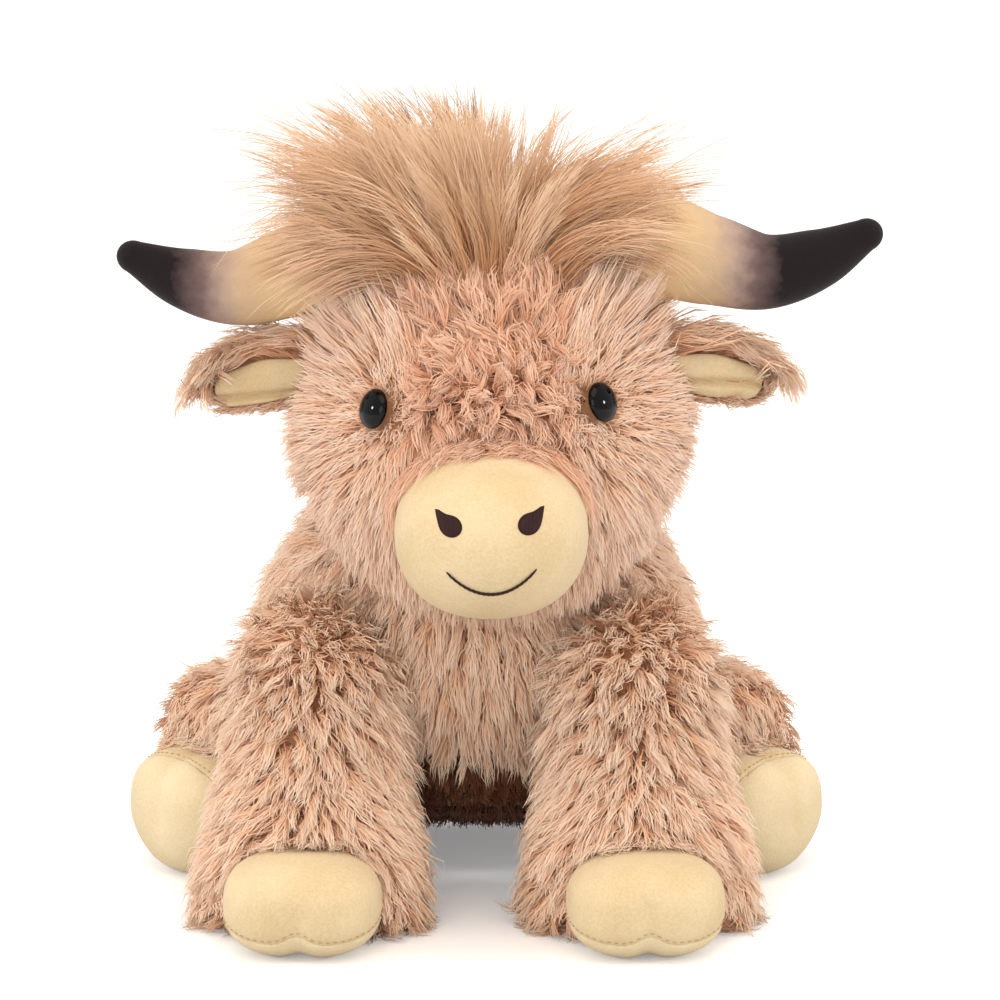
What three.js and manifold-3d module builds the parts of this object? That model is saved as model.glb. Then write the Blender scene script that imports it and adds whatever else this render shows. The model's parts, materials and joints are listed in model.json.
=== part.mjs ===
// A sitting plush highland cow: skins of long-pile fur fabric over fibre filling,
// with velour muzzle, horns, ear linings and hooves.
// Millimetres, +Z up. The cow faces -Y, and left and right are as seen by someone looking at its face.

import * as THREE from 'three';
import { mergeVertices } from 'three/addons/utils/BufferGeometryUtils.js';
import Module from 'manifold-3d';

const wasm = await Module();
wasm.setup();

// Cloth and clearances
const furDepth = 14; // fur fabric, from the inside of its backing to the tips of its pile
const velourDepth = 2; // velour with its backing
const seamGap = 0.3; // between pieces that are sewn or laid together
const turningGap = 0.8; // round a part that turns in its neighbour
const turningStep = 11; // degrees, at most, between the places that a turning part is cut out in

// The middle of the torso's seat from the origin, which lies under the middle of the whole toy
const torsoPlace = new THREE.Vector3(-7.8, -4.5, 0);

// Torso: the middle line from the seat to the neck, and its half width and half depth there
const torsoPath = path([0, 44, 50], [0, 30, 85], [0, 4, 118], [0, -14, 142]);
const torsoGirth = girth([92, 84], [92, 82], [80, 68], [58, 50]);
const torsoCaps = [62, 26]; // how far it rounds out below the first point and above the last

// Head: a ball on the neck with full cheeks, tipped a little to one side as it sits
const headPlace = new THREE.Vector3(6, -28, 188);
const headTip = 1.8; // degrees, the right horn up
const headRadius = 76;
const cheekSwell = 7;
const cheekSpread = 34; // degrees from the middle of the cheek to its edge
const cheekHeight = 6; // degrees above the level of the head's middle
const neckHoleRadius = 20;
const neckFillingLength = 26;

// Muzzle: a velour dome in the front of the head
const muzzleSink = 4; // its middle behind the front of the head
const muzzlePlace = new THREE.Vector3(0, muzzleSink - headRadius, -23.5);
const muzzleHalf = new THREE.Vector3(37.5, 42, 32);
const stitchHeight = 0.8; // how far embroidery stands off the velour
const nostrilSpacing = 31;
const nostrilRise = 11; // above the muzzle's middle
const nostrilRadius = 4.6;
const nostrilTip = new THREE.Vector2(5.5, 5.5); // its point from the middle of its round end
const mouthHalfWidth = 16.5;
const mouthDrop = 5.5; // its corners below the muzzle's middle
const mouthSag = 10;
const mouthWidth = 1.2;

// Eyes: domes on shanks that pass through the skin into washers
const eyeDirection = new THREE.Vector3(50, -55, 25).normalize();
const eyeRadius = 8;
const eyeRim = 1.5;
const eyeCrown = 6;
const eyeSink = 10; // the back of the dome below the tips of the head's pile
const eyeSeat = headRadius - eyeSink;
const shankRadius = 2.2;
const shankLength = 14;
const washerRadius = 7.5;
const washerThickness = 1.6;

// Horns: their middle line and their half width and half depth, with the root ball in the crown
const hornShift = 6; // the pair sits this far to the right on the head
const hornPath = [[40, 4, 58], [60, 4, 72], [82, 4, 67], [104, 4, 61.5], [125, 4, 66], [144, 4, 75]];
const hornGirth = girth([19, 19], [18, 20.5], [16, 18], [14, 15], [11, 12], [6, 6.5]);
const hornCaps = [19, 6];
const hornBend = 8; // degrees each way

// Ears: small leaves that stick out of the cheeks, with a velour lining in the front
const earPath = [[70, 2, 22], [90, 2, 19], [112, 2, 15]];
const earGirth = girth([6, 8], [6, 13], [5, 10]);
const earCaps = [8, 7];
const earRim = 2; // fur left all round the lining
const earFlap = 20;
const earWidening = 24; // degrees that its edges spread at the root

// Forelock: a tuft of long hair on the crown
const forelockSink = 8; // its middle below the top of the head
const forelockPlace = new THREE.Vector3(-2, -8, headRadius - forelockSink);
const forelockHalf = new THREE.Vector3(68, 44, 58);

// Hoof: a stuffed velour loaf with a cleft toe and a separate sole, its toe towards -Y
const hoofHalf = new THREE.Vector3(31, 30, 20);
const hoofSquareness = 2.6; // 2 is an ellipsoid, more is squarer
const cleftDepth = 0.16; // share of the radius
const cleftWidth = 0.2; // share of the radius
const heelTaper = 0.3; // share of its width that is lost at the heel
const soleRise = 16; // the sole's edge above its lowest point at the middle of the hoof
const soleTilt = 14; // degrees, the edge falls to the toe

// Legs: each hangs from a pivot in the torso with a ball of its root radius round it.
// The ball is flat where it is sewn to the torso.
const frontLeg = {
  name: 'front',
  pivot: new THREE.Vector3(62, -42, 92),
  lie: 0,
  splay: 4,
  path: path([0, 0, 0], [0, -14, -36], [0, -30, -66], [0, -36, -84]),
  girth: girth([34, 34], [39, 37], [46, 41], [48, 41]),
  caps: [34, 18],
  rootFlat: 26, // its flat from the pivot
  hoof: new THREE.Vector3(0, -66, -72.8),
  swing: 30,
};
const hindLeg = {
  name: 'hind',
  pivot: new THREE.Vector3(81, 34, 44),
  lie: -90,
  splay: 50,
  path: path([0, 0, 0], [0, 0, -14], [0, 0, -28]),
  girth: girth([45, 45], [43, 44], [40, 42]),
  caps: [45, 16],
  rootFlat: 34,
  hoof: new THREE.Vector3(0, 14, -42),
  swing: 30,
};

// Tail: a thin fur tube from the rump with a tuft of long hair
const tailPlace = new THREE.Vector3(0, 117, 95);
const tailPath = path([0, 0, 0], [0, 16, -10], [0, 22, -36], [0, 21, -58]);
const tailGirth = girth([7, 7], [6, 6], [6, 6], [6, 6]);
const tailCaps = [7, 6];
const tuftPath = path([0, 21.5, -48], [0, 21, -62], [0, 20, -76]);
const tuftGirth = girth([9, 9], [13, 12], [9, 8]);
const tuftCaps = [7, 10];
const tailSwing = 35;

// How finely each form is faceted
const torsoFacets = { rings: 3, sides: 16, capRings: 3 };
const torsoCoreFacets = { rings: 3, sides: 8, capRings: 1 };
const headFacets = [16, 11];
const headCoreFacets = [10, 7];
const neckFacets = [48, 24];
const socketFacets = [12, 7];
const limbFacets = { rings: 3, sides: 12, capRings: 2 };
const limbCoreFacets = { rings: 3, sides: 7, capRings: 1 };
const hoofFacets = [12, 7];
const hoofCoreFacets = [6, 4];
const hornFacets = { rings: 6, sides: 8, capRings: 2 };
const hornCoreFacets = { rings: 6, sides: 6, capRings: 1 };
const smallFacets = { rings: 3, sides: 8, capRings: 2 };
const muzzleFacets = [14, 8];
const muzzleCoreFacets = [9, 6];
const forelockFacets = [12, 7];
const roundSides = 10;

const fur = finish('#d8a78c', 0.95);
const longHair = finish('#d6b293', 0.9);
const velour = finish('#f6d99b', 0.85);
const soleVelour = finish('#f6e2b4', 0.85);
const hornVelour = finish('#5a474e', 0.8);
const filling = finish('#f2efe8', 1);
const glass = finish('#0c0b0b', 0.08);
const thread = finish('#3c272a', 0.55);
const plastic = finish('#e9e7e0', 0.5);

const X = new THREE.Vector3(1, 0, 0);
const Y = new THREE.Vector3(0, 1, 0);
const Z = new THREE.Vector3(0, 0, 1);
const largerThanToy = 1000;

// Shapes

function finish(color, roughness) {
  return new THREE.MeshStandardMaterial({ color, roughness, metalness: 0 });
}

function path(...points) {
  return new THREE.CatmullRomCurve3(points.map((point) => new THREE.Vector3(...point)));
}

function girth(...halves) {
  return new THREE.SplineCurve(halves.map((half) => new THREE.Vector2(...half)));
}

function radians(degrees) {
  return THREE.MathUtils.degToRad(degrees);
}

// A closed oval tube along a flat path, drawn in by inset, with a rounded cap past each end.
// sideways is the direction square to the path's plane, in which the half width is measured.
function sweptOval(line, halves, caps, sideways, inset, { rings, sides, capRings }) {
  const stations = [];
  const addStation = (t, capTurn, capLength) => {
    const along = line.getTangent(t);
    const half = halves.getPoint(t).subScalar(inset).multiplyScalar(Math.cos(capTurn));
    const centre = line.getPoint(t).addScaledVector(along, capLength * Math.sin(capTurn));
    stations.push({ centre, along, half });
  };
  const [startCap, endCap] = caps.map((length) => length - inset);
  const quarter = Math.PI / 2;
  for (let i = capRings; i > 0; i--) addStation(0, (-quarter * i) / capRings, startCap);
  for (let i = 0; i <= rings; i++) addStation(i / rings, 0, 0);
  for (let i = 1; i <= capRings; i++) addStation(1, (quarter * i) / capRings, endCap);

  const corners = [];
  const faces = [];
  const start = stations.shift();
  const end = stations.pop();
  for (const { centre, along, half } of stations) {
    const across = new THREE.Vector3().crossVectors(along, sideways);
    for (let k = 0; k < sides; k++) {
      const turn = (2 * Math.PI * k) / sides;
      const corner = centre.clone().addScaledVector(sideways, half.x * Math.cos(turn));
      corners.push(corner.addScaledVector(across, half.y * Math.sin(turn)));
    }
  }
  const last = stations.length - 1;
  const startPole = corners.push(start.centre) - 1;
  const endPole = corners.push(end.centre) - 1;
  for (let k = 0; k < sides; k++) {
    const next = (k + 1) % sides;
    faces.push(startPole, next, k);
    faces.push(last * sides + k, last * sides + next, endPole);
    for (let row = 0; row < last; row++) {
      const below = row * sides;
      const above = below + sides;
      faces.push(below + k, below + next, above + next);
      faces.push(below + k, above + next, above + k);
    }
  }
  const geometry = new THREE.BufferGeometry().setFromPoints(corners);
  geometry.setIndex(faces);
  return geometry;
}

// A closed ball whose radius depends on the direction from its middle
function ball(radiusAlong, [around, down]) {
  const geometry = bare(new THREE.SphereGeometry(1, around, down));
  const corners = geometry.attributes.position;
  const corner = new THREE.Vector3();
  for (let i = 0; i < corners.count; i++) {
    corner.fromBufferAttribute(corners, i).normalize();
    corner.multiplyScalar(radiusAlong(corner));
    corners.setXYZ(i, corner.x, corner.y, corner.z);
  }
  return geometry;
}

// The radius of an ellipsoid, or of a squarer loaf, in one direction
function loafRadius(direction, half, squareness) {
  const share = (part, reach) => Math.abs(part / reach) ** squareness;
  const sum = share(direction.x, half.x) + share(direction.y, half.y) + share(direction.z, half.z);
  return sum ** (-1 / squareness);
}

// A rod along Y from one height to the other
function rod(radius, from, to, sides = roundSides) {
  const geometry = new THREE.CylinderGeometry(radius, radius, to - from, sides);
  return geometry.translate(0, (from + to) / 2, 0);
}

function bare(geometry) {
  geometry.deleteAttribute('normal');
  geometry.deleteAttribute('uv');
  return mergeVertices(geometry);
}

// Solids

function solid(geometry) {
  const { attributes, index } = bare(geometry.clone());
  const vertProperties = new Float32Array(attributes.position.array);
  const triVerts = new Uint32Array(index.array);
  return new wasm.Manifold(new wasm.Mesh({ numProp: 3, vertProperties, triVerts }));
}

function cut(body, ...tools) {
  return tools.flat().reduce((left, tool) => left.subtract(tool), body);
}

function join(...bodies) {
  return bodies.flat().reduce((whole, body) => whole.add(body));
}

// Everything on one side of a plane square to an axis, in the frame that place leads from
function halfSpace(axis, level, side, place = new THREE.Matrix4()) {
  const block = new THREE.BoxGeometry(largerThanToy, largerThanToy, largerThanToy);
  block.translate(...axis.clone().multiplyScalar(level + (side * largerThanToy) / 2));
  return solid(block.applyMatrix4(place));
}

// The places that a tube takes as it turns about its pivot from one angle to the other, joined
function sweptPlaces(tube, pivot, axis, from, to) {
  const steps = 2 * Math.ceil((to - from) / turningStep / 2);
  const places = [];
  for (let i = 0; i <= steps; i++) {
    const turn = new THREE.Matrix4().makeRotationAxis(axis, radians(from + ((to - from) * i) / steps));
    const copy = tube.clone().translate(...pivot.clone().negate()).applyMatrix4(turn);
    places.push(solid(copy.translate(...pivot)));
  }
  return join(places);
}

// A ball's socket, clear of the ball by the gap at the middle of each facet
function socket(radius, gap, facets) {
  const clearRadius = (radius + gap) / Math.cos(Math.PI / facets[0]) ** 2;
  return ball(() => clearRadius, facets);
}

// The room that a root ball needs in the head or rump: a cup round the ball that opens into a funnel
function funnelRoom(line, rootRadius, flare) {
  const radius = (rootRadius + turningGap) / Math.cos(Math.PI / roundSides);
  const profile = [new THREE.Vector2(0, -radius)];
  const cupSteps = 3;
  const lipTurn = radians(flare);
  for (let i = 1; i <= cupSteps; i++) {
    const turn = -Math.PI / 2 + ((Math.PI / 2 - lipTurn) * i) / cupSteps;
    profile.push(new THREE.Vector2(radius * Math.cos(turn), radius * Math.sin(turn)));
  }
  const length = 2 * rootRadius;
  const lip = profile.at(-1);
  profile.push(new THREE.Vector2(lip.x + (length - lip.y) * Math.tan(lipTurn), length));
  profile.push(new THREE.Vector2(0, length));
  const funnel = new THREE.LatheGeometry(profile, roundSides);
  funnel.applyQuaternion(new THREE.Quaternion().setFromUnitVectors(Y, line.getTangent(0)));
  return solid(funnel.translate(...line.getPoint(0)));
}

function addMesh(group, name, body, material) {
  const { vertProperties, triVerts } = body.getMesh();
  const geometry = new THREE.BufferGeometry();
  geometry.setAttribute('position', new THREE.BufferAttribute(vertProperties, 3));
  geometry.setIndex(new THREE.BufferAttribute(triVerts, 1));
  geometry.computeVertexNormals();
  const mesh = new THREE.Mesh(geometry, material);
  mesh.name = name;
  group.add(mesh);
}

// A form mirrored from the right side to the left by its path
function sided(points, side, shift = 0) {
  return path(...points.map(([x, y, z]) => [side * x + shift, y, z]));
}

const sides = [
  { word: 'left', side: -1 },
  { word: 'right', side: 1 },
];

const cow = new THREE.Group();
cow.position.copy(torsoPlace);
const floor = halfSpace(Z, 0, -1);

// Legs: a fur sleeve, its filling, and a velour hoof and sole at its end

function legPlace(leg, side) {
  const place = new THREE.Matrix4().makeRotationZ(side * radians(leg.splay));
  place.multiply(new THREE.Matrix4().makeRotationX(radians(leg.lie)));
  return place.setPosition(side * leg.pivot.x, leg.pivot.y, leg.pivot.z);
}

function hoofForm(leg, inset, facets) {
  const half = hoofHalf.clone().subScalar(inset);
  const radiusAlong = (direction) => {
    const towardsToe = THREE.MathUtils.smoothstep(-direction.y - direction.z, 0.2, 1);
    const cleft = cleftDepth * towardsToe * Math.exp(-((direction.x / cleftWidth) ** 2));
    return loafRadius(direction, half, hoofSquareness) * (1 - cleft);
  };
  const form = ball(radiusAlong, facets);
  const corners = form.attributes.position;
  for (let i = 0; i < corners.count; i++) {
    const towardsHeel = THREE.MathUtils.smoothstep(corners.getY(i), 0, half.y);
    corners.setX(i, corners.getX(i) * (1 - heelTaper * towardsHeel));
  }
  return form.translate(...leg.hoof);
}

function sleeveForm(leg, inset, facets) {
  return sweptOval(leg.path, leg.girth, leg.caps, X, inset, facets);
}

// The room that a leg needs in the torso: a socket for its root ball and its places as it swings up
function legRoom(leg, side) {
  const place = legPlace(leg, side);
  const pivot = new THREE.Vector3().setFromMatrixPosition(place);
  const [rootRadius, endCap] = leg.caps;
  const tube = sweptOval(leg.path, leg.girth, [rootRadius / 2, endCap], X, -turningGap, limbFacets);
  const places = sweptPlaces(tube.applyMatrix4(place), pivot, X, -leg.swing, 0);
  const rootRoom = solid(socket(rootRadius, turningGap, socketFacets).translate(...pivot));
  return cut(join(places, rootRoom), beyondRootFlat(leg, side, seamGap));
}

// The torso's side of the flat where a leg is sewn on
function beyondRootFlat(leg, side, gap, place) {
  return halfSpace(X, side * (leg.pivot.x - leg.rootFlat - gap), -side, place);
}

function addLeg(leg, word, side) {
  const place = legPlace(leg, side);
  const group = new THREE.Group();
  group.applyMatrix4(place);
  cow.add(group);

  const intoGroup = place.clone().invert();
  const floorHere = halfSpace(Z, 0, -1, intoGroup);
  const rootHere = beyondRootFlat(leg, side, 0, intoGroup);
  const sleeve = solid(sleeveForm(leg, 0, limbFacets));
  const sleeveInside = solid(sleeveForm(leg, furDepth, limbCoreFacets));
  const sleeveFilling = solid(sleeveForm(leg, furDepth + seamGap, limbCoreFacets));
  const hoof = solid(hoofForm(leg, 0, hoofFacets));
  const hoofRoom = hoofForm(leg, -seamGap, hoofFacets);
  const underHoof = hoofRoom.clone().translate(0, 0, -hoofHalf.z / 2);
  const hoofInside = solid(hoofForm(leg, velourDepth, hoofCoreFacets));
  const hoofFilling = solid(hoofForm(leg, velourDepth + seamGap, hoofCoreFacets));

  const seamPlace = new THREE.Matrix4().makeRotationX(radians(soleTilt));
  seamPlace.setPosition(leg.hoof.x, leg.hoof.y, leg.hoof.z - hoofHalf.z + soleRise);
  const aboveSeam = halfSpace(Z, seamGap / 2, 1, seamPlace);
  const belowSeam = halfSpace(Z, -seamGap / 2, -1, seamPlace);
  const velourSkin = cut(hoof, hoofInside, sleeveInside, floorHere);

  const name = `${leg.name}_leg_${word}`;
  const skin = cut(sleeve, sleeveInside, solid(hoofRoom), solid(underHoof), floorHere, rootHere);
  addMesh(group, name, skin, fur);
  const stuffing = cut(join(sleeveFilling, hoofFilling), floorHere, rootHere);
  addMesh(group, `${name}_filling`, stuffing, filling);
  addMesh(group, `${leg.name}_hoof_${word}`, velourSkin.intersect(aboveSeam), velour);
  addMesh(group, `${leg.name}_sole_${word}`, velourSkin.intersect(belowSeam), soleVelour);
}

for (const leg of [frontLeg, hindLeg]) {
  for (const { word, side } of sides) addLeg(leg, word, side);
}

// Tail

const tailForm = (inset) => sweptOval(tailPath, tailGirth, tailCaps, X, inset, smallFacets);
const tail = new THREE.Group();
tail.position.copy(tailPlace);
cow.add(tail);
addMesh(tail, 'tail', solid(tailForm(0)), fur);
const tuft = solid(sweptOval(tuftPath, tuftGirth, tuftCaps, X, 0, smallFacets));
addMesh(tail, 'tail_tuft', cut(tuft, solid(tailForm(-seamGap))), longHair);
const tailRoom = funnelRoom(tailPath, tailCaps[0], tailSwing).translate(tailPlace.toArray());

// Torso and the filling in its neck

const legRooms = [frontLeg, hindLeg].flatMap((leg) => sides.map(({ side }) => legRoom(leg, side)));
const headSocket = socket(headRadius, turningGap, headFacets).translate(...headPlace);
const torsoForm = (inset, facets) => {
  const form = sweptOval(torsoPath, torsoGirth, torsoCaps, X, inset, facets);
  return cut(solid(form), solid(headSocket), legRooms, tailRoom, floor);
};
const neckRod = (radius, length) => {
  const form = rod(radius, -headRadius - length, -headRadius / 2).rotateX(Math.PI / 2);
  return solid(form.translate(...headPlace));
};
const neckRoomRadius = (neckHoleRadius + turningGap) / Math.cos(Math.PI / roundSides);
const neckRoom = neckRod(neckRoomRadius, neckFillingLength + turningGap);
const torsoCore = solid(sweptOval(torsoPath, torsoGirth, torsoCaps, X, furDepth, torsoCoreFacets));
const torsoInside = cut(torsoCore, halfSpace(Z, furDepth, -1));
addMesh(cow, 'torso_fur', cut(torsoForm(0, torsoFacets), torsoInside, neckRoom), fur);
const torsoStuffing = torsoForm(furDepth + seamGap, torsoCoreFacets);
const seatFur = halfSpace(Z, furDepth + seamGap, -1);
addMesh(cow, 'torso_filling', cut(torsoStuffing, neckRoom, seatFur), filling);
const neckSeat = socket(headRadius - seamGap, seamGap, neckFacets).translate(...headPlace);
const neckFilling = cut(neckRod(neckHoleRadius, neckFillingLength), solid(neckSeat));
addMesh(cow, 'neck_filling', neckFilling, filling);

// Head: everything below is in the head's own frame, its middle at the origin

const head = new THREE.Group();
head.position.copy(headPlace);
head.rotation.y = -radians(headTip);
cow.add(head);

const cheeks = sides.map(({ side }) => {
  const level = radians(cheekHeight);
  return new THREE.Vector3(side * Math.cos(level), 0, Math.sin(level));
});
const headForm = (inset, facets) => {
  const radiusAlong = (direction) => {
    const turn = Math.min(...cheeks.map((cheek) => direction.angleTo(cheek)));
    const share = Math.min(turn / radians(cheekSpread), 1);
    return headRadius - inset + cheekSwell * Math.cos((share * Math.PI) / 2) ** 2;
  };
  return solid(ball(radiusAlong, facets));
};
const muzzleForm = (inset, facets) => {
  const half = muzzleHalf.clone().subScalar(inset);
  return solid(ball((direction) => loafRadius(direction, half, 2), facets).translate(...muzzlePlace));
};

// Horns and ears, which bend about their root balls

const hornForm = (side, inset, facets) =>
  sweptOval(sided(hornPath, side, hornShift), hornGirth, hornCaps, Y, inset, facets);
const earForm = (side, inset) =>
  sweptOval(sided(earPath, side), earGirth, earCaps, Y, inset, smallFacets);
const rootOf = (points, side, shift) => sided(points, side, shift).getPoint(0);
const earFront = seamGap + velourDepth; // from the ear's middle plane to the face of its lining
const hornRooms = sides.map(({ side }) =>
  funnelRoom(sided(hornPath, side, hornShift), hornCaps[0], hornBend));
const hornPlaces = sides.map(({ side }) => {
  const room = hornForm(side, -turningGap, hornFacets);
  return sweptPlaces(room, rootOf(hornPath, side, hornShift), Y, -hornBend, hornBend);
});
const earRooms = sides.map(({ side }) => {
  const root = rootOf(earPath, side);
  const inFront = halfSpace(Y, root.y - earFront - seamGap, -1);
  const behind = halfSpace(Y, root.y + earGirth.getPoint(0).x + seamGap, 1);
  return cut(funnelRoom(sided(earPath, side), earCaps[0], earFlap + earWidening), inFront, behind);
});

for (const { word, side } of sides) {
  const skin = cut(solid(hornForm(side, 0, hornFacets)), solid(hornForm(side, velourDepth, hornCoreFacets)));
  const rootOpening = rod(hornCaps[0] / 2, 0, headRadius / 2);
  const intoHead = rootOf(hornPath, side, hornShift).negate().normalize();
  const opening = rootOpening.applyQuaternion(new THREE.Quaternion().setFromUnitVectors(Y, intoHead));
  const openingHere = solid(opening.translate(...rootOf(hornPath, side, hornShift)));
  addMesh(head, `horn_${word}`, cut(skin, openingHere), hornVelour);
  const core = solid(hornForm(side, velourDepth + seamGap, hornCoreFacets));
  addMesh(head, `horn_${word}_filling`, core, filling);

  const ear = solid(earForm(side, 0));
  const middle = earPath[0][1];
  const front = halfSpace(Y, middle - earFront, -1);
  const liningPocket = solid(earForm(side, earRim)).intersect(halfSpace(Y, middle, -1));
  const lining = solid(earForm(side, earRim + seamGap)).intersect(halfSpace(Y, middle - seamGap, -1));
  addMesh(head, `ear_${word}`, cut(ear, liningPocket, front), fur);
  addMesh(head, `ear_${word}_lining`, cut(lining, front), velour);
}

// Eyes and their washers

function eyeProfile() {
  const profile = [[0, -shankLength], [shankRadius, -shankLength], [shankRadius, 0], [eyeRadius, 0]];
  const crownSteps = 6;
  for (let i = 0; i <= crownSteps; i++) {
    const turn = ((Math.PI / 2) * i) / crownSteps;
    profile.push([eyeRadius * Math.cos(turn), eyeRim + eyeCrown * Math.sin(turn)]);
  }
  profile[profile.length - 1][0] = 0;
  return profile.map(([radius, height]) => new THREE.Vector2(radius, height));
}

const eyePlace = (side) => {
  const outward = eyeDirection.clone();
  outward.x *= side;
  const place = new THREE.Matrix4().makeRotationFromQuaternion(
    new THREE.Quaternion().setFromUnitVectors(Y, outward));
  return place.setPosition(outward.multiplyScalar(eyeSeat));
};
const washerLevel = headRadius - furDepth - eyeSeat - 3 * seamGap - washerThickness;
const eyeRooms = sides.map(({ side }) => {
  const pit = rod(eyeRadius + seamGap, -seamGap, headRadius).applyMatrix4(eyePlace(side));
  const hole = rod(shankRadius + seamGap, -shankLength - seamGap, 0).applyMatrix4(eyePlace(side));
  return join(solid(pit), solid(hole));
});
const washerRooms = (top) => sides.map(({ side }) => {
  const room = rod(washerRadius + seamGap, washerLevel - seamGap, top);
  return solid(room.applyMatrix4(eyePlace(side)));
});
for (const { word, side } of sides) {
  const dome = new THREE.LatheGeometry(eyeProfile(), roundSides);
  addMesh(head, `eye_${word}`, solid(dome.applyMatrix4(eyePlace(side))), glass);
  const disc = rod(washerRadius, washerLevel, washerLevel + washerThickness);
  const hole = rod(shankRadius + seamGap, washerLevel - 1, 0);
  const washer = cut(solid(disc.applyMatrix4(eyePlace(side))), solid(hole.applyMatrix4(eyePlace(side))));
  addMesh(head, `eye_washer_${word}`, washer, plastic);
}

// Muzzle with its embroidered nostrils and mouth

const muzzleSkin = cut(
  muzzleForm(0, muzzleFacets),
  muzzleForm(velourDepth, muzzleCoreFacets),
  headForm(furDepth, headCoreFacets),
);
addMesh(head, 'muzzle', muzzleSkin, velour);

const stitched = (outline) => {
  const prism = new THREE.ExtrudeGeometry(outline, { depth: largerThanToy, bevelEnabled: false, curveSegments: 8 });
  const place = muzzlePlace.clone();
  const column = solid(prism.rotateX(Math.PI / 2).translate(...place));
  const overVelour = muzzleForm(-seamGap - stitchHeight, muzzleFacets);
  return cut(column.intersect(overVelour), muzzleForm(-seamGap, muzzleFacets));
};
for (const { word, side } of sides) {
  const outline = new THREE.Shape();
  const middle = new THREE.Vector2((side * nostrilSpacing) / 2, nostrilRise);
  const tipTurn = Math.atan2(nostrilTip.y, side * nostrilTip.x);
  const openTurn = Math.acos(nostrilRadius / nostrilTip.length());
  outline.moveTo(middle.x + side * nostrilTip.x, middle.y + nostrilTip.y);
  outline.absarc(middle.x, middle.y, nostrilRadius, tipTurn + openTurn, tipTurn - openTurn + 2 * Math.PI, false);
  outline.closePath();
  addMesh(head, `nostril_${word}`, stitched(outline), thread);
}
const mouthRadius = (mouthHalfWidth ** 2 + mouthSag ** 2) / (2 * mouthSag);
const mouthTurn = Math.asin(mouthHalfWidth / mouthRadius);
const mouthMiddle = mouthRadius - mouthSag - mouthDrop;
const smile = new THREE.Shape();
smile.absarc(0, mouthMiddle, mouthRadius + mouthWidth / 2, -Math.PI / 2 - mouthTurn, -Math.PI / 2 + mouthTurn, false);
smile.absarc(0, mouthMiddle, mouthRadius - mouthWidth / 2, -Math.PI / 2 + mouthTurn, -Math.PI / 2 - mouthTurn, true);
smile.closePath();
addMesh(head, 'mouth', stitched(smile), thread);

// Head skin, filling and forelock

const neckOpening = (radius) =>
  solid(rod(radius, -2 * headRadius, 0).rotateX(Math.PI / 2));
const headSkin = cut(
  headForm(0, headFacets),
  headForm(furDepth, headCoreFacets),
  muzzleForm(-seamGap, muzzleFacets),
  neckOpening(neckHoleRadius),
  hornRooms,
  earRooms,
  eyeRooms,
  washerRooms(washerLevel + washerThickness + seamGap),
);
addMesh(head, 'head_fur', headSkin, fur);
const neckBall = solid(ball(() => headRadius - seamGap, neckFacets));
const neckBoss = neckOpening(neckHoleRadius - seamGap).intersect(neckBall);
const headStuffing = join(
  headForm(furDepth + seamGap, headCoreFacets),
  muzzleForm(velourDepth + seamGap, muzzleCoreFacets),
  neckBoss,
);
addMesh(head, 'head_filling', cut(headStuffing, hornRooms, earRooms, eyeRooms, washerRooms(0)), filling);
const forelock = ball((direction) => loafRadius(direction, forelockHalf, 2), forelockFacets);
const forelockSolid = cut(
  solid(forelock.translate(...forelockPlace)),
  headForm(-seamGap, headFacets),
  hornPlaces,
);
addMesh(head, 'forelock', forelockSolid, longHair);

export default cow;
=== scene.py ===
# A sitting plush highland cow: fur fabric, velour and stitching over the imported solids.
# Metres, +Z up. The cow faces -Y, and left and right are as seen by someone looking at its face.

import json
import math

import bmesh
import bpy
import numpy as np
from mathutils import Matrix, Vector
from mathutils.bvhtree import BVHTree
from mathutils.kdtree import KDTree


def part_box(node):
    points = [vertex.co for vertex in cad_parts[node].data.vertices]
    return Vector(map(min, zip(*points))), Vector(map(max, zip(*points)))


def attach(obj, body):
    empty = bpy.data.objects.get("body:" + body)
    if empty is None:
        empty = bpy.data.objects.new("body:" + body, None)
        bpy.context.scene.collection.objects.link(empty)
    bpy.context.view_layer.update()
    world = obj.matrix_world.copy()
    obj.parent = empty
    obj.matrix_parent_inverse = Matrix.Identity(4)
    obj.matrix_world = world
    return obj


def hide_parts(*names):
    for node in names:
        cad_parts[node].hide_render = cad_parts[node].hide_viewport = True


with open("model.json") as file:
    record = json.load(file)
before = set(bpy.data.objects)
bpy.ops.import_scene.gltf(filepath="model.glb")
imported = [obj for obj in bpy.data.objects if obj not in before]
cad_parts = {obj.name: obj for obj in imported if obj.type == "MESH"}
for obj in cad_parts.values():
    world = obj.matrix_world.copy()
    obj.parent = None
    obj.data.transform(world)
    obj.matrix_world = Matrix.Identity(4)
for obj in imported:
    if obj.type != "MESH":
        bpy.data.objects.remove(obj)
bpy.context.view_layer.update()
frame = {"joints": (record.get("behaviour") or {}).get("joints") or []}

# Torso: a cover of long-pile polyester fur fabric, sewn from panels and stuffed to a pear that sits flat.
# The knitted backing is a smooth padded form, and the pile is locks of flat pointed strands rooted on it, about
# 8 mm long at the seat and 24 mm above, brushed down the chest and curlier on the shoulders.

sides = {"left": -1, "right": 1}
pile_depth = 0.012  # how far the backing lies inside the fur's outline


def joint_place(name):
    return Vector(next(j["pos_m"] for j in frame["joints"] if j["name"] == name))


def linear(code):
    parts = [int(code[i : i + 2], 16) / 255 for i in (1, 3, 5)]
    return [p / 12.92 if p <= 0.04045 else ((p + 0.055) / 1.055) ** 2.4 for p in parts] + [1]


def add_node(tree, kind, inputs=None, **settings):
    node = tree.nodes.new(kind)
    for key, value in settings.items():
        setattr(node, key, value)
    for key, value in (inputs or {}).items():
        if isinstance(value, bpy.types.NodeSocket):
            tree.links.new(value, node.inputs[key])
        else:
            node.inputs[key].default_value = value
    return node


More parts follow.
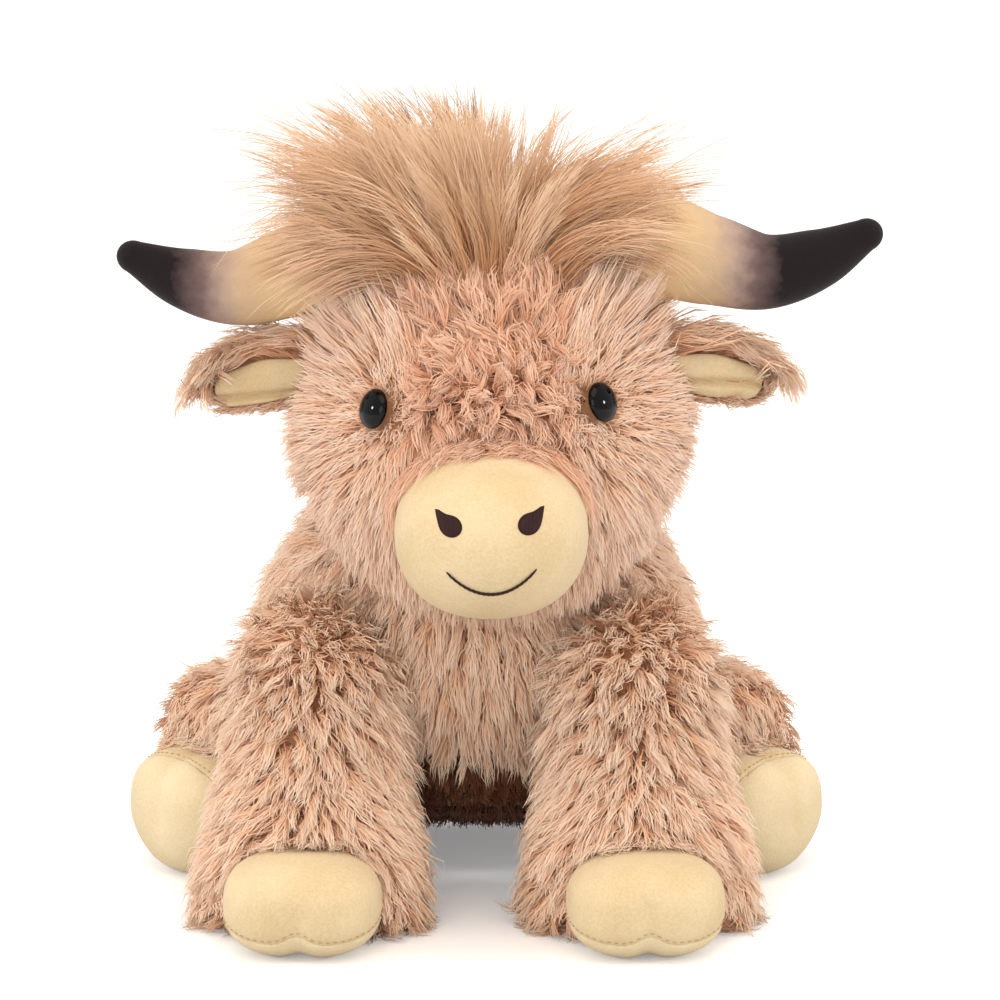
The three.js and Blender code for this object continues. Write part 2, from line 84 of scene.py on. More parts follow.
def add_ramp(tree, factor, stops):
    node = add_node(tree, "ShaderNodeValToRGB", {"Fac": factor})
    elements = node.color_ramp.elements
    for element, (place, code) in zip(elements, stops):
        element.position, element.color = place, linear(code)
    for place, code in stops[2:]:
        elements.new(place).color = linear(code)
    return node.outputs["Color"]


def new_finish(name, settings):
    finish = bpy.data.materials.new(name)
    finish.use_nodes = True
    shader = finish.node_tree.nodes["Principled BSDF"]
    for key, value in settings.items():
        shader.inputs[key].default_value = value
    return finish, finish.node_tree, shader


def pile_finish(name, root, middle, tip, strands_darker, strands_paler):
    # Each strand is a stripe of the map: along it from root to tip, across it by how dark its dye took.
    finish, tree, shader = new_finish(name, {"Roughness": 0.55, "Specular IOR Level": 0.3})
    place = add_node(tree, "ShaderNodeUVMap", uv_map="OFBake").outputs["UV"]
    parts = add_node(tree, "ShaderNodeSeparateXYZ", {"Vector": place}).outputs
    # From root to tip the colour runs from dark to pale: the dark root is painted shade where the hairs crowd.
    lengthwise = add_ramp(tree, parts["Y"], [(0.0, root), (1.0, tip), (0.45, middle)])
    by_strand = add_ramp(tree, parts["X"], [(0.0, strands_darker), (1.0, strands_paler)])
    mixed = add_node(tree, "ShaderNodeMix", data_type="RGBA", blend_type="MULTIPLY")
    mixed.inputs["Factor"].default_value = 1
    tree.links.new(lengthwise, mixed.inputs["A"])
    tree.links.new(by_strand, mixed.inputs["B"])
    tree.links.new(mixed.outputs["Result"], shader.inputs["Base Color"])
    return finish


def add_piece(name, form, finish, body):
    bmesh.ops.recalc_face_normals(form, faces=form.faces)
    if form.calc_volume(signed=True) < 0:
        bmesh.ops.reverse_faces(form, faces=form.faces)
    for face in form.faces:
        face.smooth = True
    # Blender makes a ball's faces in another order on each run, and the fur's roots are drawn by face. Sorted by
    # their corners, they grow the same fur every time.
    form.verts.index_update()
    in_order = sorted(form.faces, key=lambda face: sorted(vertex.index for vertex in face.verts))
    ranks = {face: rank for rank, face in enumerate(in_order)}
    form.faces.sort(key=ranks.get)
    mesh = bpy.data.meshes.new(name)
    form.to_mesh(mesh)
    form.free()
    mesh.materials.append(finish)
    piece = bpy.data.objects.new(name, mesh)
    bpy.context.scene.collection.objects.link(piece)
    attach(piece, body)
    return piece


def along(points, share):
    # The place at a share of the way along a smooth curve through the points
    spans = len(points) - 1
    i = min(int(share * spans), spans - 1)
    f = share * spans - i
    b, c = Vector(points[i]), Vector(points[i + 1])
    a = Vector(points[i - 1]) if i else 2 * b - c
    d = Vector(points[i + 2]) if i + 2 <= spans else 2 * c - b
    return b + ((c - a) * f + (2 * a - 5 * b + 4 * c - d) * f**2 + (3 * b - a - 3 * c + d) * f**3) / 2


def swept_form(line, halves, caps, sideways, around=40, rows=40, cap_share=0.22, place=Matrix()):
    # A stuffed tube with round ends: the rows of a ball are moved along the line, each to its own half widths
    step = 0.01
    form = bmesh.new()
    bmesh.ops.create_uvsphere(form, u_segments=around, v_segments=rows, radius=1)
    for vertex in form.verts:
        level = math.asin(max(-1, min(1, vertex.co.z))) / math.pi + 0.5
        turn = math.atan2(vertex.co.y, vertex.co.x)
        share = min(max((level - cap_share) / (1 - 2 * cap_share), 0), 1)
        over_end = min(level, cap_share) - cap_share + max(level, 1 - cap_share) - (1 - cap_share)
        bend = over_end / cap_share * math.pi / 2
        forward = (along(line, min(share + step, 1)) - along(line, max(share - step, 0))).normalized()
        half = along(halves, share) * math.cos(bend)
        reach = (caps[0] if bend < 0 else caps[1]) * math.sin(bend)
        corner = along(line, share) + forward * reach + sideways * (half.x * math.cos(turn))
        vertex.co = place @ (corner + forward.cross(sideways) * (half.y * math.sin(turn)))
    return form


def drawn_in(halves, inset):
    return [[half - inset for half in pair] for pair in halves]


def in_metres(points):
    return [[0.001 * part for part in point] for point in points]


def unit(vectors):
    return vectors / np.maximum(np.linalg.norm(vectors, axis=-1, keepdims=True), 1e-9)


def dots(a, b):
    return (a * b).sum(-1, keepdims=True)


def numbers(collection, key, width, kind=np.float32):
    values = np.empty(len(collection) * width, kind)
    collection.foreach_get(key, values)
    return values.reshape(-1, width)


def scatter(skin, count, chance):
    skin.data.calc_loop_triangles()
    corners = numbers(skin.data.loop_triangles, "vertices", 3, np.int32)
    places, normals = (numbers(skin.data.vertices, key, 3) for key in ("co", "normal"))
    a, b, c = (places[corners[:, i]] for i in range(3))
    areas = np.linalg.norm(np.cross(b - a, c - a), axis=1)
    faces = chance.choice(len(corners), count, p=areas / areas.sum())
    shares = np.sqrt(chance.random((count, 1))), chance.random((count, 1))
    weights = np.concatenate([1 - shares[0], shares[0] * (1 - shares[1]), shares[0] * shares[1]], 1)[:, :, None]
    return (places[corners[faces]] * weights).sum(1), unit((normals[corners[faces]] * weights).sum(1))


def chosen(skin, count, groom, chance):
    # Points on the backing, as many to each area as the groom asks for
    kept = []
    while sum(len(place) for place, _ in kept) < count:
        place, normal = scatter(skin, 4 * count, chance)
        keep = chance.random(len(place)) < groom(place, normal)["density"]
        kept.append((place[keep], normal[keep]))
    return [np.concatenate(parts)[:count] for parts in zip(*kept)]


def surface_tree(forms):
    corners, faces = [], []
    for form in forms:
        faces += [[len(corners) + i for i in face.vertices] for face in form.data.polygons]
        corners += [vertex.co for vertex in form.data.vertices]
    return BVHTree.FromPolygons(corners, faces)


def comb(skin, over, groom, count, steps, pull, chance):
    # The middle lines of the locks, each grown from its root in short steps over the backing and what it meets.
    # At each step they are lifted clear of both, by an amount at the root and more towards the tip.
    clear_of_own, clear_of_others = (0.0015, 0.004), (0.0008, 0.0015)
    floor_clear, brushed_again = 0.001, 0.3
    trees = [surface_tree(forms) for forms in ([skin], over) if forms]
    place, upright = chosen(skin, count, groom, chance)
    style = {key: value if np.ndim(value) == 2 else np.reshape(np.broadcast_to(value, len(place)), (-1, 1))
             for key, value in groom(place, upright).items()}
    brushed = unit(style["flow"])
    flow = unit(brushed - dots(brushed, upright) * upright)
    swirl = chance.normal(size=(len(place), 1)) * style["swirl"]
    flow = flow * np.cos(swirl) + np.cross(upright, flow) * np.sin(swirl)
    phase = chance.random((len(place), 1)) * 2 * math.pi
    length = style["length"] * chance.uniform(0.75, 1.15, (len(place), 1))
    locks = [place]
    for step in range(steps):
        share = (step + 0.5) / steps
        angle = style["lift"] * (1 - share) + style["lay"] * share
        curl = phase + 2 * math.pi * style["turns"] * share
        ahead = flow * np.cos(angle) + upright * np.sin(angle)
        ahead = ahead + np.cross(upright, flow) * style["curl"] * np.sin(curl)
        ahead = ahead + upright * 0.5 * style["curl"] * np.cos(curl)
        ahead[:, 2:] -= style["droop"] * share
        place = place + unit(ahead) * length / steps
        for tree in trees:
            found = [tree.find_nearest(point) for point in place]
            near, away = (np.array([hit[i] for hit in found]) for i in range(2))
            own = tree is trees[0]
            at_root, towards_tip = clear_of_own if own else clear_of_others
            buried = (at_root + towards_tip * share) - dots(place - near, away)
            place = place + away * np.maximum(buried, 0)
            upright = np.where((buried > 0) | own, away, upright)
        place[:, 2] = np.maximum(place[:, 2], floor_clear)
        flow = flow + brushed_again * brushed
        flow = unit(flow - dots(flow, upright) * upright)
        locks.append(place)
    locks = np.stack(locks, 1)
    # A few neighbouring locks lean together into a tuft
    leader = locks[chance.permutation(len(locks))[: len(locks) // 5]]
    leader = leader[nearest_root(leader[:, 0], locks[:, 0])]
    return locks + (leader - locks) * pull * np.linspace(0, 1, steps + 1)[None, :, None] ** 2


def nearest_root(roots, points):
    tree = KDTree(len(roots))
    for i, root in enumerate(roots):
        tree.insert(root, i)
    tree.balance()
    return np.array([tree.find(point)[1] for point in points])


def strands_of(locks, root, clump, frizz, chance):
    # Each strand follows the nearest lock and gathers towards its point.
    owner = nearest_root(locks[:, 0], root)
    count, levels = len(root), locks.shape[1]
    share = np.linspace(0, 1, levels)[None, :, None]
    line = locks[owner, :1] + (locks[owner] - locks[owner, :1]) * chance.uniform(0.7, 1.05, (count, 1, 1))
    line = line + (root - locks[owner, 0])[:, None] * (1 - clump * share**0.8)
    line = line + frizz * chance.normal(size=(count, 1, 3)) * share
    line = line + frizz * chance.normal(size=(count, 1, 3)) * np.sin(2 * math.pi * share)
    line[..., 2] = np.maximum(line[..., 2], 0.0004)
    dye = 0.6 * chance.random(len(locks))[owner] + 0.38 * chance.random(count)
    return line, dye


def new_strip(steps):
    # One strand, flat and pointed: its faces, and how far across and up it each corner lies
    strip = bmesh.new()
    bmesh.ops.create_grid(strip, x_segments=1, y_segments=steps, size=1)
    tip = [vertex for vertex in strip.verts if vertex.co.y > 0.99]
    bmesh.ops.pointmerge(strip, verts=tip, merge_co=(0, 1, 0))
    strip.verts.index_update()
    across = np.array([vertex.co.x for vertex in strip.verts])
    level = np.array([round((vertex.co.y + 1) / 2 * steps) for vertex in strip.verts])
    faces = [[vertex.index for vertex in face.verts] for face in strip.faces]
    strip.free()
    return across, level, faces


def add_pile(name, body, finish, line, dye, outward, width, chance):
    count, steps = len(line), line.shape[1] - 1
    sideways, level, faces = new_strip(steps)
    ahead = unit(np.gradient(line, axis=1))
    across = unit(np.cross(ahead, outward[:, None]))
    twist = chance.normal(scale=0.5, size=(count, 1, 1))
    across = across * np.cos(twist) + np.cross(across, ahead) * np.sin(twist)
    taper = width / 2 * np.sqrt(1 - (level / steps) ** 2 * 0.75)
    corners = line[:, level] + across[:, level] * (sideways * taper)[None, :, None]
    loops = np.concatenate(faces)
    starts = np.cumsum([0] + [len(face) for face in faces])[:-1]
    every = np.arange(count)[:, None]
    mesh = bpy.data.meshes.new(name)
    mesh.vertices.add(count * len(level))
    mesh.vertices.foreach_set("co", corners.astype(np.float32).ravel())
    mesh.loops.add(count * len(loops))
    mesh.loops.foreach_set("vertex_index", (loops[None] + every * len(level)).astype(np.int32).ravel())
    mesh.polygons.add(count * len(faces))
    mesh.polygons.foreach_set("loop_start", (starts[None] + every * len(loops)).astype(np.int32).ravel())
    stripe = np.stack([np.broadcast_to(dye[:, None] + 0.004 * (1 + sideways[loops])[None], (count, len(loops))),
                       np.broadcast_to(level[loops][None] / steps, (count, len(loops)))], 2)
    mesh.uv_layers.new(name="OFBake").data.foreach_set("uv", stripe.astype(np.float32).ravel())
    mesh.update()
    mesh.shade_smooth()
    # Soft hair is lit more by the side of the body it is on than by each strand's own lie.
    own_lie = 0.3
    flat_side = np.cross(across, ahead)
    flat_side = flat_side * np.sign(dots(flat_side, outward[:, None]))
    normals = unit(own_lie * flat_side[:, level] + outward[:, None])
    mesh.normals_split_custom_set_from_vertices(normals.reshape(-1, 3).astype(np.float32))
    mesh.materials.append(finish)
    pile = bpy.data.objects.new(name, mesh)
    bpy.context.scene.collection.objects.link(pile)
    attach(pile, body)
    return pile


def grow(name, skin, body, finish, groom, strands, steps=4, per_lock=11, width=0.00055, clump=0.7, pull=0.3,
         frizz=0.0009, seed=1, over=(), face_on=0.0):
    chance = np.random.default_rng(seed)
    locks = comb(skin, over, groom, strands // per_lock, steps, pull, chance)
    root, outward = chosen(skin, strands, groom, chance)
    line, dye = strands_of(locks, root, clump, frizz, chance)
    # The flanks would go dark, so their shading is turned to the front, or on the rear side to the back
    rear_side = 0.35
    outward = unit(outward + [0, face_on, 0] * np.sign(outward[:, 1:2] - rear_side))
    return add_pile(name, body, finish, line, dye, outward, width, chance)


def outside(balls, place):
    # 1 for a place outside all the balls, else 0
    keep = np.ones(len(place))
    for middle, radius in balls:
        keep[np.linalg.norm(place - np.array(middle), axis=1) < radius] = 0
    return keep


head_middle = joint_place("head_turn")
front_roots = [joint_place(f"{word}_front_leg_swing") for word in sides]
hind_roots = [joint_place(f"{word}_hind_leg_lift") for word in sides]
torso_middle = Vector(((front_roots[0].x + front_roots[1].x) / 2, 0, 0))
# Polyester pile: smooth hairs with a soft satin gleam, darker at the root, which is painted shade where they crowd.
# Under the belly a darker dye stands for the shade that the photograph shows between the front legs.
fur = pile_finish("long_pile_polyester_fur", "#dca075", "#fccca6", "#fdedd9", "#f3e5da", "#ffffff")
belly_fur = pile_finish("shaded_belly_fur", "#34190c", "#6c3b21", "#93603f", "#d8c8bc", "#ffffff")
# Knitted polyester: matt, and seen only as a warm ground between the hairs
backing = new_finish("knitted_fur_backing", {"Roughness": 0.95, "Base Color": linear("#cc946e")})[0]
torso_line = in_metres([(0, 47.5, 50), (0, 28.5, 85), (0, -0.5, 118), (0, -18.5, 142)])
torso_halves = in_metres([(92, 76), (92, 79), (80, 68), (58, 50)])
torso_caps = (0.05, 0.014)
torso_form = swept_form(torso_line, drawn_in(torso_halves, pile_depth), torso_caps, Vector((1, 0, 0)),
                        place=Matrix.Translation(torso_middle))
seat_level = 0.004
belly_rise, belly_start, belly_reach = 0.027, 0.075, 0.075  # the belly lifts off the floor towards the front legs
for vertex in torso_form.verts:
    ahead = min(max((belly_start - vertex.co.y) / belly_reach, 0), 1)
    vertex.co.z = max(vertex.co.z, seat_level + belly_rise * ahead)
torso = add_piece("torso_backing", torso_form, backing, "torso")
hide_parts("torso_fur", "torso_filling", "neck_filling")
head_clear = [(head_middle, 0.064)]
leg_clear = [(root, 0.02) for root in front_roots + hind_roots]
shoulder_level, shoulder_side = 0.092, 0.026
clipped_level = 0.045  # below it the pile is clipped short, where the toy sits
belly_top, belly_half, front_limit = 0.066, 0.05, 0.1


def shoulders(place):
    # The curly top of the shoulders and of the front legs
    side = np.abs(place[:, 0] - torso_middle.x)
    return np.clip((place[:, 2] - shoulder_level) / 0.02, 0, 1) * np.clip((side - shoulder_side) / 0.015, 0, 1)


def torso_groom(place, normal):
    side = (place[:, :1] - torso_middle.x) / 0.08
    curly = shoulders(place) * (normal[:, 1] < 0.3)
    flow = np.concatenate([0.8 * side, 0.1 * normal[:, 1:2], -np.ones_like(side)], 1)
    return {
        "flow": flow,
        "length": 0.008 + 0.016 * np.clip((place[:, 2] - clipped_level) / 0.025, 0, 1) + 0.004 * curly,
        "lift": 1.0,
        "lay": 0.55,
        "curl": 0.25 + 0.35 * curly,
        "turns": 0.6 + 0.4 * curly,
        "swirl": 0.2 + 0.5 * curly,
        "droop": 0.35,
        "density": outside(head_clear + leg_clear, place) * (place[:, 2] > seat_level + 0.001),
    }


def facing(groom, test):
    # The same groom, on only that part of the skin that passes the test
    def part(place, normal):
        style = groom(place, normal)
        return {**style, "density": style["density"] * test(place, normal)}

    return part


def under_belly(place, normal):
    middle = np.abs(place[:, 0] - torso_middle.x) < belly_half
    return (normal[:, 1] < front_limit) & (place[:, 2] < belly_top) & middle


def in_front(place, normal):
    return (normal[:, 1] < front_limit) & ~under_belly(place, normal)


def behind(place, normal):
    return normal[:, 1] >= front_limit


grow("chest_pile", torso, "torso", fur, facing(torso_groom, in_front), 24000, seed=11, face_on=0.9)
grow("belly_pile", torso, "torso", belly_fur, facing(torso_groom, under_belly), 6000, clump=0.5, seed=13)
grow("back_pile", torso, "torso", fur, facing(torso_groom, behind), 17000, seed=12, face_on=0.5)

# Head: a ball of the same fur with full cheeks. The pile lies outward from the middle of the face in straight
# silky hair over the cheeks, and is short, curly and rumpled on the forehead.

head_tilt, cheek_spread, cheek_height = (math.radians(degrees) for degrees in (-1.8, 34, 6))
head_place = Matrix.Translation(head_middle) @ Matrix.Rotation(head_tilt, 4, "Y")
head_radius = 0.076
cheek_swell = 0.007
cheeks = [Vector((side * math.cos(cheek_height), 0, math.sin(cheek_height))) for side in sides.values()]
head_form = bmesh.new()
bmesh.ops.create_uvsphere(head_form, u_segments=64, v_segments=40, radius=1)
for vertex in head_form.verts:
    away = min(vertex.co.angle(cheek) for cheek in cheeks) / cheek_spread
    swell = cheek_swell * math.cos(min(away, 1) * math.pi / 2) ** 2
    vertex.co = head_place @ (vertex.co.normalized() * (head_radius - pile_depth + swell))
head = add_piece("head_backing", head_form, backing, "head")
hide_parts("head_fur", "head_filling")

muzzle_middle = Vector((0, -0.072, -0.0235))
muzzle_half = Vector((0.0375, 0.042, 0.032))
eye_middles = {word: sum(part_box(f"eye_{word}"), Vector()) / 2 for word in sides}
eye_bare, eye_bare_shift = 0.0078, Vector((0.0030, 0, -0.0005))  # the skin left bare round an eye
eye_combed, eye_combed_reach = 0.35, 0.017
to_head = np.array(head_place.inverted())


def in_head(place):
    return place @ to_head[:3, :3].T + to_head[:3, 3]


def turned_to_world(vectors):
    return vectors @ np.array(head_place)[:3, :3].T


def bare_spots(place):
    spot = (in_head(place) - np.array(muzzle_middle)) / (np.array(muzzle_half) * 0.9)
    keep = (np.linalg.norm(spot, axis=1) > 1) * 1.0
    clear = []
    for word, middle in eye_middles.items():
        shift = Vector((eye_bare_shift.x * sides[word], 0, eye_bare_shift.z))
        clear.append((middle + shift, eye_bare))
    return keep * outside(clear, place)


def near_eye(place):
    # Hair is clipped short beside the eyes
    away = np.min([np.linalg.norm(place - np.array(middle), axis=1) for middle in eye_middles.values()], axis=0)
    return np.clip((away - 0.006) / 0.018, 0.22, 1)


def away_from_eye(place):
    # Near an eye the hair is combed away from it
    parts = []
    for middle in eye_middles.values():
        away = place - np.array(middle)
        parts.append(unit(away) * eye_combed * np.exp(-(dots(away, away) / eye_combed_reach**2)))
    return sum(parts)


def face_shares(place):
    # The direction from the head's middle, and how far a place belongs to the forehead
    unit_place = unit(in_head(place))
    across, height, forward = np.abs(unit_place[:, 0]), unit_place[:, 2], -unit_place[:, 1]
    forehead = np.clip((0.5 - across) / 0.12, 0, 1) * np.clip((forward - 0.25) / 0.15, 0, 1)
    forehead = forehead * np.clip((height + 0.05) / 0.1, 0, 1) * np.clip((0.93 - height) / 0.06, 0, 1)
    return unit_place, forehead


# The same pile brushed straight, paler in the middle of its length, and rumpled, darker and warmer all along: painted
# shade between the curls
combed_fur = pile_finish("combed_long_pile_fur", "#cc9a77", "#fad0af", "#fdebda", "#efe0d5", "#ffffff")
shaded_rumpled_fur = pile_finish("rumpled_long_pile_fur_painted_shade", "#b57a55", "#efb691", "#fee0c8", "#ead6c8", "#ffffff")


def cheek_groom(place, normal):
    unit_place, forehead = face_shares(place)
    side = np.sign(unit_place[:, :1])
    wide = np.clip((np.abs(unit_place[:, :1]) - 0.25) / 0.3, 0, 1)
    flow = unit_place - np.concatenate([0.5 * side * wide, -0.9 + 0 * side, 0.08 + 0.2 * wide], 1)
    back = np.clip((unit_place[:, 1:2] - 0.1) / 0.4, 0, 1)
    flow = flow * (1 - back) + np.array([0, 0, -1.0]) * back
    low = np.clip(-unit_place[:, 2] / 0.5, 0, 1)
    crest = np.clip((unit_place[:, 2] - 0.38) / 0.25, 0, 1) * (unit_place[:, 1] < 0.1)
    return {
        "flow": turned_to_world(flow) + away_from_eye(place),
        "length": 0.026 * near_eye(place) + 0.015 * crest,
        "lift": 0.7 + 0.5 * crest,
        "lay": 0.36 + 0.6 * crest,
        "curl": 0.1,
        "turns": 0.5,
        "swirl": 0.1,
        "droop": 0.15 + 0.2 * low,
        "density": bare_spots(place) * (1 - forehead),
    }


def forehead_groom(place, normal):
    unit_place, forehead = face_shares(place)
    low = np.clip((0.5 - unit_place[:, 2:]) / 0.2, 0, 1)
    flow = np.concatenate([unit_place[:, :1] * (1 - 0.5 * low), -1.1 * low, 0.9 - 2.2 * low], 1)
    crest = np.clip((unit_place[:, 2] - 0.6) / 0.15, 0, 1)
    fringe = np.clip((0.3 - unit_place[:, 2]) / 0.08, 0, 1)
    parting = np.exp(-(((unit_place[:, 2] - 0.42) / 0.06) ** 2))
    return {
        "flow": turned_to_world(flow) + away_from_eye(place),
        "length": (0.020 + 0.012 * crest + 0.019 * fringe + 0.004 * parting) * near_eye(place),
        "lift": 1.0 + 0.2 * crest - 0.6 * fringe + 0.5 * parting,
        "lay": 0.3 + 0.6 * crest - 0.2 * fringe + 0.5 * parting,
        "curl": 0.75 - 0.4 * fringe - 0.3 * crest,
        "turns": 0.9,
        "swirl": 0.9 + 1.2 * parting - 0.4 * low[:, 0],
        "droop": 0.25 + 0.3 * fringe,
        "density": bare_spots(place) * forehead,
    }


# Muzzle: a dome of short cream velour, sewn into the front of the head and stuffed tight.
# Nap this short shows as a fine felt-like grain and takes a soft sheen at its edges.


def add_nap(tree, shader, scale):
    # The fine grain of the nap, and the place it is read at
    place = add_node(tree, "ShaderNodeTexCoord").outputs["Object"]
    grain = add_node(tree, "ShaderNodeTexNoise", {"Vector": place, "Scale": scale, "Detail": 3.0})
    bump = add_node(tree, "ShaderNodeBump", {"Height": grain.outputs["Fac"], "Strength": 0.5, "Distance": 0.0004})
    tree.links.new(bump.outputs["Normal"], shader.inputs["Normal"])
    return place, grain


def velour_finish(name, low, high):
    finish, tree, shader = new_finish(name, {"Roughness": 0.9, "Specular IOR Level": 0.2, "Sheen Weight": 0.15})
    place, grain = add_nap(tree, shader, 900.0)
    rub = add_node(tree, "ShaderNodeTexNoise", {"Vector": place, "Scale": 45.0, "Detail": 2.0})
    both = add_node(tree, "ShaderNodeMath", {0: grain.outputs["Fac"], 1: rub.outputs["Fac"]}, operation="ADD")
    half = add_node(tree, "ShaderNodeMath", {0: both.outputs[0], 1: 0.5}, operation="MULTIPLY")
    colour = add_ramp(tree, half.outputs[0], [(0.35, low), (0.62, high)])
    tree.links.new(colour, shader.inputs["Base Color"])
    return finish


velour = velour_finish("cream_velour", "#dbc293", "#e9d3ab")
sole_velour = velour_finish("pale_sole_velour", "#e6d0a6", "#f2deb6")


muzzle_power = 2.2  # a little squarer than an ellipsoid


def muzzle_point(direction):
    total = sum((abs(part) / half) ** muzzle_power for part, half in zip(direction, muzzle_half))
    return muzzle_middle + direction * total ** (-1 / muzzle_power)


muzzle_form = bmesh.new()
bmesh.ops.create_uvsphere(muzzle_form, u_segments=64, v_segments=48, radius=1)
for vertex in muzzle_form.verts:
    vertex.co = head_place @ muzzle_point(vertex.co.normalized())
muzzle = add_piece("muzzle_dome", muzzle_form, velour, "head")
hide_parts("muzzle")

# Eyes: 16 mm domes of injection-moulded black plastic on shanks that pass through the fabric. They are
# polished, so each mirrors the lamps in small sharp highlights over near-black.

eye_settings = {"Roughness": 0.05, "Metallic": 0, "Specular IOR Level": 0.2, "Base Color": linear("#030304")}
eye_plastic = new_finish("polished_black_plastic", eye_settings)[0]
eye_radius, eye_crown, eye_rim, eye_sunk = 0.008, 0.0043, 0.0015, 0.0085
eyes = []
for word, side in sides.items():
    outward, look = (Vector(parts).normalized() for parts in ((side * 50, -55, 25), (side * 60, -44, 24)))
    form = bmesh.new()
    bmesh.ops.create_uvsphere(form, u_segments=48, v_segments=32, radius=1)
    for vertex in form.verts:
        height = eye_rim + eye_crown * vertex.co.z if vertex.co.z > 0 else eye_rim * (1 + vertex.co.z)
        vertex.co = Vector((vertex.co.x * eye_radius, vertex.co.y * eye_radius, height))
    lean = look.to_track_quat("Z", "Y").to_matrix().to_4x4()
    place = head_place @ Matrix.Translation(outward * (head_radius - eye_sunk)) @ lean
    bmesh.ops.transform(form, matrix=place, verts=form.verts)
    eye = add_piece(f"eye_dome_{word}", form, eye_plastic, "head")
    eyes.append(eye)
    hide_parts(f"eye_{word}")

# Washers: rings of natural white nylon pushed on the eyes' shanks inside the skin, which lock the eyes in
# place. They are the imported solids, faintly cloudy as moulded nylon is, and nothing outside shows them.

washer_nylon, washer_tree, washer_shader = new_finish("moulded_white_nylon", {"Roughness": 0.4})
washer_place = add_node(washer_tree, "ShaderNodeTexCoord").outputs["Object"]
cloud = add_node(washer_tree, "ShaderNodeTexNoise", {"Vector": washer_place, "Scale": 600.0})
washer_colour = add_ramp(washer_tree, cloud.outputs["Fac"], [(0.3, "#d9d6cc"), (0.7, "#e6e3da")])
washer_tree.links.new(washer_colour, washer_shader.inputs["Base Color"])
for word in sides:
    washer = bpy.data.objects[f"eye_washer_{word}"]
    washer.data.materials.clear()
    washer.data.materials.append(washer_nylon)

# Face: the head's own pile, rooted on its backing. It grows out over the edges of the muzzle and of the eyes,
# so it is combed once those are in place: straight on the cheeks and nape, rumpled on the forehead.

grow("cheek_pile", head, "head", combed_fur, facing(cheek_groom, in_front), 28000, per_lock=12, clump=0.32, pull=0.25,
     seed=21, over=[muzzle, *eyes], face_on=0.4)
grow("nape_pile", head, "head", combed_fur, facing(cheek_groom, behind), 13000, clump=0.6, seed=22, face_on=0.4)
grow("forehead_pile", head, "head", shaded_rumpled_fur, forehead_groom, 15000, steps=6, per_lock=20, clump=0.8, pull=0.2,
     seed=23, over=[muzzle, *eyes])

# Nostrils and mouth: machine embroidery in glossy plum-brown thread. The nostrils are padded satin stitch
# in the shape of teardrops, the mouth one line of short stitches.

thread_settings = {"Roughness": 0.5, "Specular IOR Level": 0.2}
thread, thread_tree, thread_shader = new_finish("rayon_embroidery_thread", thread_settings)
thread_place = add_node(thread_tree, "ShaderNodeTexCoord").outputs["Object"]
rows_of_thread = add_node(thread_tree, "ShaderNodeTexWave", {"Vector": thread_place, "Scale": 620.0, "Distortion": 3.0})
thread_colour = add_ramp(thread_tree, rows_of_thread.outputs["Fac"], [(0.0, "#1f0e0d"), (1.0, "#4a2b28")])
thread_tree.links.new(thread_colour, thread_shader.inputs["Base Color"])
stitch_bump = add_node(thread_tree, "ShaderNodeBump", {"Height": rows_of_thread.outputs["Fac"], "Distance": 0.0003})
thread_tree.links.new(stitch_bump.outputs["Normal"], thread_shader.inputs["Normal"])


def on_muzzle(x, z, out):
    # The muzzle's surface in front of a point of its middle plane, and a little above it
    rest = 1 - abs(x / muzzle_half.x) ** muzzle_power - abs(z / muzzle_half.z) ** muzzle_power
    return head_place @ (muzzle_middle + Vector((x, -muzzle_half.y * rest ** (1 / muzzle_power) - out, z)))


nostril_radius = 0.0043
nostril_tip = 0.0092
nostril_height = 0.0007
nostril_side, nostril_level, nostril_turn = 0.0149, 0.0115, math.radians(48)
for word, side in sides.items():
    form = bmesh.new()
    bmesh.ops.create_uvsphere(form, u_segments=48, v_segments=28, radius=1)
    for vertex in form.verts:
        turn = math.atan2(vertex.co.y, vertex.co.x) - nostril_turn
        turn = (turn + math.pi) % (2 * math.pi) - math.pi
        reach = nostril_radius + (nostril_tip - nostril_radius) * math.exp(-abs(turn) / (0.2 if turn > 0 else 0.38))
        flat = Vector((vertex.co.x, 0.92 * vertex.co.y)) * reach
        x = side * (nostril_side + flat.x)
        # A groove inside the edge, where the padded stitches meet their border
        border = 1 - 0.6 * math.exp(-(((vertex.co.xy.length - 0.84) / 0.05) ** 2))
        vertex.co = on_muzzle(x, nostril_level + flat.y, nostril_height * border * vertex.co.z)
    nostril = add_piece(f"nostril_stitching_{word}", form, thread, "head")
    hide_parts(f"nostril_{word}")

mouth_half, mouth_level, mouth_sag, mouth_thread = 0.0175, -0.0058, 0.0095, 0.0007
mouth_form = bmesh.new()
bmesh.ops.create_uvsphere(mouth_form, u_segments=8, v_segments=90, radius=1)
for vertex in mouth_form.verts:
    share = 2 * math.asin(max(-1, min(1, vertex.co.z))) / math.pi
    ring = vertex.co.xy.normalized() * mouth_thread * min(1, 12 * (1 - abs(share))) ** 0.5
    ring *= 1 + 0.12 * math.sin(60 * share)
    x = mouth_half * share
    vertex.co = on_muzzle(x, mouth_level - mouth_sag * (1 - share**2) + ring.x, 0.0002 + ring.y)
mouth = add_piece("mouth_stitching", mouth_form, thread, "head")
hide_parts("mouth")

# Horns: tubes of velour dyed from cream at the root through grey-lilac to plum-black, sewn on and stuffed.
# The dye bleeds into the nap, so the bands have soft uneven edges and the tips stay matt.

horn_shift = 0.006
horn_line = [(40, 4, 58), (60, 4, 72), (82, 4, 67), (104, 4, 61.5), (125, 4, 66), (144, 4, 75)]
horn_halves = in_metres([(19, 19), (18, 20.5), (16, 18), (14, 15), (11, 12), (6, 6.5)])
horn_caps = (0.019, 0.007)
dye_ends = {"left": (-0.107, -0.124), "right": (0.094, 0.110)}  # from where to where the grey band runs


